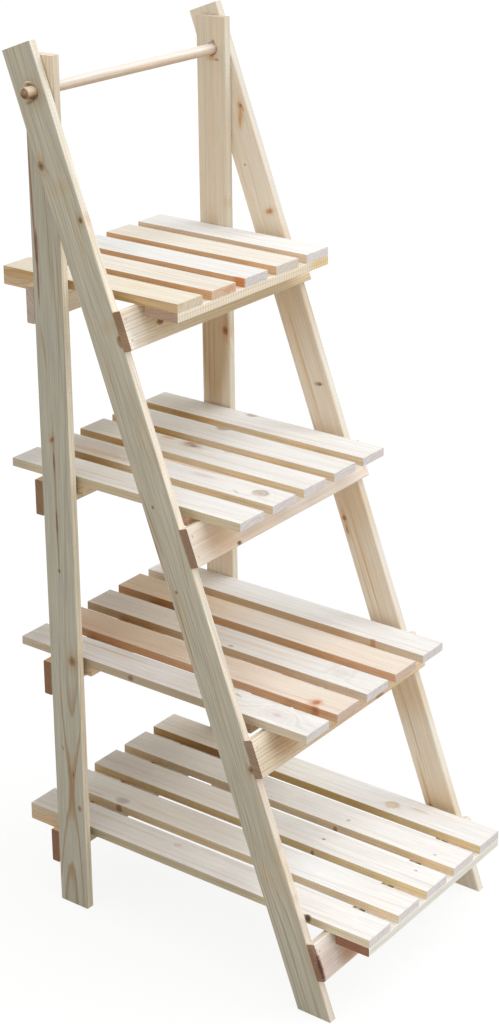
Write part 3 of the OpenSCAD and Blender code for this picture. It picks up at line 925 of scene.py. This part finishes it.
# %% Front battens and dowel
BOARDS["shelf_1_batten_front"] = board(
    "cream", 0.35, edge=(1.0, 0.93, 0.82), end=(0.59, 0.42, 0.34), chatter=0.1, marks=[
        # A warm painted shade on its right part.
        painted_shading(138, 22, (0.95, 0.82, 0.58), soft=0.5, ragged=1.0)])
# This batten's end lies in shade and is painted lighter, a painted highlight.
BOARDS["shelf_2_batten_front"] = board("pink", 0.5, end=(1.12, 0.83, 0.8))
BOARDS["shelf_3_batten_front"] = board("cream", 0.5, end=(0.66, 0.46, 0.4))
BOARDS["shelf_4_batten_front"] = board(
    "white", 0.3, edge=(0.92, 0.91, 0.84), end=(0.365, 0.16, 0.1), chatter=0.03, marks=[
        mark(-151.5, -20, (3, 8), (1.12, 1.2, 1.22), through=0, deep=14, soft=0.8)])
BOARDS["pivot_dowel"] = board(
    "pink", 0.45, (1.5, 2.5), 2.2, 1.0, tint=1.02, edge=(1, 1, 1), end=(0.5, 0.42, 0.35), marks=[
        # A painted highlight along the top, and a painted shade along the underside.
        mark(0, 0, (400, 60), (1.02, 1.09, 1.17), through=7, deep=6, soft=0.6, ragged=0.2),
        mark(0, 0, (400, 60), (0.72, 0.63, 0.53), through=-7, deep=7.5, soft=0.5, ragged=0.3),
        # The near end, painted darker, with a painted shade under it and a dark line near the top.
        painted_shading(-187, 9, (0.94, 0.84, 0.7), soft=0.4),
        mark(-187, 0, (12, 60), (0.52, 0.4, 0.3), through=-7, deep=6, soft=0.6),
        mark(-186, 1, (9, 1.4), (0.66, 0.5, 0.38), through=6, deep=6, soft=0.5)])
print(len(BOARDS), "boards have their wood")

# %% [markdown]
# ## A material for each board
# The position and the normal are first turned into the board's own directions. The marks follow one another,
# each taking the stain and painted shade and the swerve of the rings from the one before, and the pine group
# comes last. One material per board costs little, and no two boards look alike.

# %% Wood materials
SEED_STEP = (137.0, 61.0, 29.0)  # mm between the places of two boards in the noise
BUMP_STRENGTH, BUMP_HEIGHT = 0.5, 0.0004


def own_coordinates(m, node):
    """Position in mm and normal, both in the directions of the board that is this node."""
    origin, turn_matrix = lie_of(node)
    euler = turn_matrix.to_euler("XYZ")
    seen = m.add("ShaderNodeTexCoord").outputs
    local = m.add(
        "ShaderNodeMapping",
        {"Vector": seen["Object"], "Location": origin * MM, "Rotation": euler, "Scale": (MM, MM, MM)},
        vector_type="TEXTURE").outputs[0]
    normal = m.add(
        "ShaderNodeMapping", {"Vector": seen["Normal"], "Rotation": euler},
        vector_type="TEXTURE").outputs[0]
    return local, normal


def wood_material(node, wood, number):
    """The pine group on this board's own directions, with its marks chained in front."""
    material = bpy.data.materials.new("wood_" + node)
    material.use_nodes = True
    material.node_tree.nodes.clear()
    m = Graph(material.node_tree)
    local, normal = own_coordinates(m, node)
    chain = {"StainAndShade": WHITE, "Swerve": 0.0}
    for row in wood["marks"]:
        spot = m.add("ShaderNodeGroup", node_tree=mark_group)
        for key, value in {**row, "Local": local, **chain}.items():
            m.feed(spot.inputs[key], value)
        chain = {key: spot.outputs[key] for key in chain}
    pine = m.add("ShaderNodeGroup", node_tree=pine_group)
    values = {key: value for key, value in wood.items() if key != "marks"}
    values.update(Local=local, Normal=normal, Seed=tuple(step * number for step in SEED_STEP), **chain)
    for key, value in values.items():
        m.feed(pine.inputs[key], value)
    bump = m.add("ShaderNodeBump", {
        "Height": pine.outputs["Height"], "Strength": BUMP_STRENGTH, "Distance": BUMP_HEIGHT})
    shader = m.add("ShaderNodeBsdfPrincipled", {
        "Base Color": pine.outputs["Color"], "Roughness": pine.outputs["Roughness"],
        "Normal": bump.outputs[0]})
    m.add("ShaderNodeOutputMaterial", {"Surface": shader.outputs[0]})
    return material


def dress(node, material):
    """The material on a CAD node."""
    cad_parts[node].data.materials.clear()
    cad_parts[node].data.materials.append(material)


for number, (node, wood) in enumerate(BOARDS.items(), 1):
    dress(node, wood_material(node, wood, number))
print(len(bpy.data.materials), "materials")

# %% [markdown]
# ## The slats' edges
# The laths' long edges have a planed bevel, but the slats are left nearly sharp, so that from above
# each one hides more of the gap beside it. A Bevel modifier on a box would do, but the slat is a
# profile carried along a line, so it is worked out as that, in the same box as the CAD model's slat.

# %% Slats
SLAT_EASE = 0.25 * MM
CORNER_STEPS = 3
CORNERS = [(1, 1), (-1, 1), (-1, -1), (1, -1)]


def eased_prism(low, high, ease):
    """Points and faces of a slat. Round it, each corner of the profile is a quarter circle with the
    radius ease, about a middle that lies in from both sides by as much. The profile has X and Z,
    and it stands at both ends of the slat's Y."""
    quarter = np.linspace(0, np.pi / 2, CORNER_STEPS)
    angle = (np.arange(4)[:, None] * np.pi / 2 + quarter).ravel()
    sign = np.repeat(CORNERS, CORNER_STEPS, axis=0)
    middle = np.array([(low.x + high.x) / 2, (low.z + high.z) / 2])
    half = np.array([(high.x - low.x) / 2, (high.z - low.z) / 2])
    profile = middle + sign * (half - ease) + ease * np.stack([np.cos(angle), np.sin(angle)], axis=1)
    count = len(profile)
    points = np.zeros((2, count, 3))
    points[:, :, 0], points[:, :, 2] = profile[:, 0], profile[:, 1]
    points[0, :, 1], points[1, :, 1] = low.y, high.y
    here = np.arange(count)
    after = np.roll(here, -1)
    sides = np.stack([here, here + count, after + count, after], axis=1).tolist()
    return points.reshape(-1, 3), sides + [here.tolist(), (here[::-1] + count).tolist()]


for node in [name for name in BOARDS if "_slat_" in name]:
    points, faces = eased_prism(*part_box(node), SLAT_EASE)
    faces = turned_outwards(points, faces)
    own_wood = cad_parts[node].data.materials[0]
    slat = new_object(node + "_sawn", new_mesh(node + "_sawn", points, faces, own_wood))
    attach(slat, node[:7])
    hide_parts(node)
print("slats:", len(points), "points and", len(faces), "faces each")

# %% [markdown]
# ## The nails
# The nails' heads are small flat discs of dull steel, stained by the planed wood round them. The
# stain is a fine noise that changes both the colour and the polish.

# %% Nail steel
STEEL_STAINED, STEEL_CLEAN = (0.60, 0.47, 0.37, 1), (0.82, 0.68, 0.56, 1)
SPOTS_PER_METRE, SPOT_DETAIL = 900.0, 3.0
STEEL_ROUGH = (0.45, 0.65)

steel = bpy.data.materials.new("nail_steel")
steel.use_nodes = True
m = Graph(steel.node_tree)
shader = steel.node_tree.nodes["Principled BSDF"]
shader.inputs["Metallic"].default_value = 1.0
spots = m.add("ShaderNodeTexNoise", {
    "Vector": m.add("ShaderNodeTexCoord").outputs["Object"], "Scale": SPOTS_PER_METRE,
    "Detail": SPOT_DETAIL}).outputs[0]
m.feed(shader.inputs["Base Color"], m.mix(spots, STEEL_STAINED, STEEL_CLEAN))
m.feed(shader.inputs["Roughness"], m.step(spots, 0.3, 0.7, *STEEL_ROUGH))
nail_nodes = [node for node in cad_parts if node.endswith("_nails")]
for node in nail_nodes:
    dress(node, steel)
print("steel on", ", ".join(nail_nodes))

# %% [markdown]
# ## The torn lip above the dowel
# The drill tore the wood of the near leg above the dowel, and left a small rough lip. It could be
# sculpted, but its form is simple: a ridge along an arc round the dowel's axis, which swells from a
# point and ends in a point. So it is worked out from two parameters, along the ridge and round it.

# %% Shape of the torn lip
LIP_STEPS, LIP_ROUND = 48, 20
LIP_FROM, LIP_SWEEP = 36, 76  # degrees round the dowel, from the rear upwards
LIP_RADIUS, LIP_CLOSING = 12.3, 1.9  # mm from the dowel's axis, and how much nearer it ends
LIP_HALF_WIDTH, LIP_NARROWING = 3.5, 0.6  # mm, and the share of it that is lost towards the end
LIP_PROUD, LIP_SUNK = 2.0, 0.4  # mm out of the leg's face and into it
LIP_BLUNT = 0.7
LIP_WAVES = ((0.16, 31, 1), (0.12, 73, 0))  # share of the height, pace and start of each wave


def lip_arc(way):
    """Angle and radius of the ridge's middle line: the radius shrinks with the square of the way."""
    return np.radians(LIP_FROM + LIP_SWEEP * way), LIP_RADIUS - LIP_CLOSING * way ** 2


def torn_lip():
    """Points of a ridge. Along it, the half width and the height grow and shrink as a blunted half
    sine wave, and two quicker waves roughen the height. Across it an ellipse is drawn, flattened
    where it lies in the leg."""
    way = np.linspace(0, 1, LIP_STEPS + 1)[1:-1, None]
    turn = np.linspace(0, 2 * np.pi, LIP_ROUND, endpoint=False)[None, :]
    swell = np.sin(np.pi * way) ** LIP_BLUNT
    rough = 1 + sum(size * np.sin(pace * way + start) for size, pace, start in LIP_WAVES)
    angle, radius = lip_arc(way)
    radius = radius + LIP_HALF_WIDTH * swell * (1 - LIP_NARROWING * way) * np.cos(turn)
    proud = np.where(np.sin(turn) > 0, LIP_PROUD * rough, LIP_SUNK) * swell * np.sin(turn)
    return radius * np.sin(angle), radius * np.cos(angle), proud * np.ones_like(radius)


def on_near_leg(up_mm, rear_mm, out_mm):
    """Points in metres on the outer face of the near front leg, from distances to the pivot."""
    up_leg, to_rear = leaning(FRONT_LEAN)
    points = up_mm[..., None] * np.array(up_leg) + rear_mm[..., None] * np.array(to_rear)
    points = points + np.array(PIVOT)
    points[..., 0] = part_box("front_leg_left")[0].x / MM - out_mm
    return (points * MM).reshape(-1, 3)


ring_points = on_near_leg(*torn_lip())
tip_angle, tip_radius = lip_arc(np.array([0.0, 1.0]))
tips = on_near_leg(tip_radius * np.sin(tip_angle), tip_radius * np.cos(tip_angle), np.zeros(2))
points = np.vstack([ring_points, tips])
print("torn lip:", len(points), "points")

# %% [markdown]
# ## The lip's faces
# The points lie in rings. A face's four corners are a point, its neighbour in the ring and the same two
# in the next ring, and the index of the whole grid gives all the faces at once. Each tip is one
# point, and a fan of triangles closes the last ring on it.

# %% Torn lip
index = np.arange(len(ring_points)).reshape(-1, LIP_ROUND)
following = np.roll(index, -1, axis=1)
quads = np.stack([index[:-1], following[:-1], following[1:], index[1:]], axis=-1).reshape(-1, 4)
first = np.full(LIP_ROUND, len(ring_points))
near_cap = np.stack([first, following[0], index[0]], axis=-1)
far_cap = np.stack([first + 1, index[-1], following[-1]], axis=-1)
faces = turned_outwards(points, quads.tolist() + near_cap.tolist() + far_cap.tolist())
LIP_NUMBER = 60
lip_wood = board("tan", 0.6, (30, 21), 2.4, tint=0.92, fine=0.9, marks=[
    mark(9.6, 2.4, (1.6, 1.8), (0.55, 0.44, 0.32), through=7, deep=5, soft=0.5)])
lip_mesh = new_mesh("torn_lip", points, faces, wood_material("front_leg_left", lip_wood, LIP_NUMBER))
lip_mesh.polygons.foreach_set("use_smooth", [True] * len(faces))
lip = new_object("torn_lip", lip_mesh)
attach(lip, "front_frame")
print("torn lip:", len(faces), "faces")

# %% [markdown]
# ## The floor
# The stand stands on a white sheet. A lamp strong enough to make paper look quite white would bleach
# the wood, so the sheet glows for the camera, in gloss and through glass, and is plain paper for
# the light that goes on to the wood. A little grey under the glow takes the stand's shadow.

# %% Floor
FLOOR_HALF, FLOOR_DROP = 20.0, 0.0003  # m
SHADOW_SHARE, GLOW_LEVEL = 0.15, 0.865
PAPER = (0.55, 0.54, 0.52, 1)


def seen_directly(graph):
    """1 for rays from the camera, from gloss and through glass, else 0."""
    rays = graph.add("ShaderNodeLightPath").outputs
    first = graph.math("MAXIMUM", rays["Is Camera Ray"], rays["Is Glossy Ray"])
    return graph.math("MAXIMUM", first, rays["Is Transmission Ray"])


paper = bpy.data.materials.new("floor_paper")
paper.use_nodes = True
paper.node_tree.nodes.clear()
m = Graph(paper.node_tree)
sheet = m.add("ShaderNodeBsdfDiffuse", {"Color": (SHADOW_SHARE, SHADOW_SHARE, SHADOW_SHARE, 1)})
glow = m.add("ShaderNodeEmission", {"Color": WHITE, "Strength": GLOW_LEVEL})
both = m.add("ShaderNodeAddShader", {0: sheet.outputs[0], 1: glow.outputs[0]})
plain = m.add("ShaderNodeBsdfDiffuse", {"Color": PAPER})
pick = m.add("ShaderNodeMixShader", {0: seen_directly(m), 1: plain.outputs[0], 2: both.outputs[0]})
m.add("ShaderNodeOutputMaterial", {"Surface": pick.outputs[0]})
corners = FLOOR_HALF * np.array([(-1, -1, 0), (1, -1, 0), (1, 1, 0), (-1, 1, 0)], float)
corners[:, 2] = -FLOOR_DROP
floor = new_object("floor", new_mesh("floor", corners, [(0, 1, 2, 3)], paper))
print("floor:", 2 * FLOOR_HALF, "m wide")

# %% [markdown]
# ## The surroundings
# The world gives the wood an even, slightly warm light from all sides. What the camera sees of the
# world is plain white, by the same choice of rays as on the floor.

# %% Surroundings
AROUND, AROUND_LEVEL = (1.0, 0.985, 0.96, 1), 0.72

world = bpy.data.worlds.new("surroundings")
bpy.context.scene.world = world
world.use_nodes = True
world.node_tree.nodes.clear()
m = Graph(world.node_tree)
around = m.add("ShaderNodeBackground", {"Color": AROUND, "Strength": AROUND_LEVEL})
white = m.add("ShaderNodeBackground", {"Color": WHITE, "Strength": 1.0})
pick = m.add("ShaderNodeMixShader", {0: seen_directly(m), 1: around.outputs[0], 2: white.outputs[0]})
m.add("ShaderNodeOutputWorld", {"Surface": pick.outputs[0]})
print("surroundings at a level of", AROUND_LEVEL)

# %% [markdown]
# ## The lamp
# One wide soft sun stands above the front right. A sun of strength pi lights a surface that faces it
# as brightly as its colour is written, so the level is a share of that, and with the surroundings
# it adds up to a little over 1 on the tops of the slats. Its width makes the shadows' edges soft.

# %% Lamp
TOWARDS_SUN = Vector((0.35, -0.50, 0.80))
SUN_LEVEL, SUN_WIDTH, SUN_COLOUR = 0.49, 1.2, (0.98, 0.99, 1.0)
SUN_FAR = 4.0  # m

sun = bpy.data.lights.new("key", "SUN")
sun.energy = SUN_LEVEL * math.pi
sun.angle = SUN_WIDTH
sun.color = SUN_COLOUR
lamp = new_object("key", sun)
lamp.location = SUN_FAR * TOWARDS_SUN
lamp.rotation_euler = TOWARDS_SUN.to_track_quat("Z", "Y").to_euler()
print("one sun of", round(sun.energy, 2), "W per square metre")

# %% [markdown] ## Finish The colours are shown as they are written, without a film look.

# %% Finish
bpy.context.scene.view_settings.view_transform = "Standard"
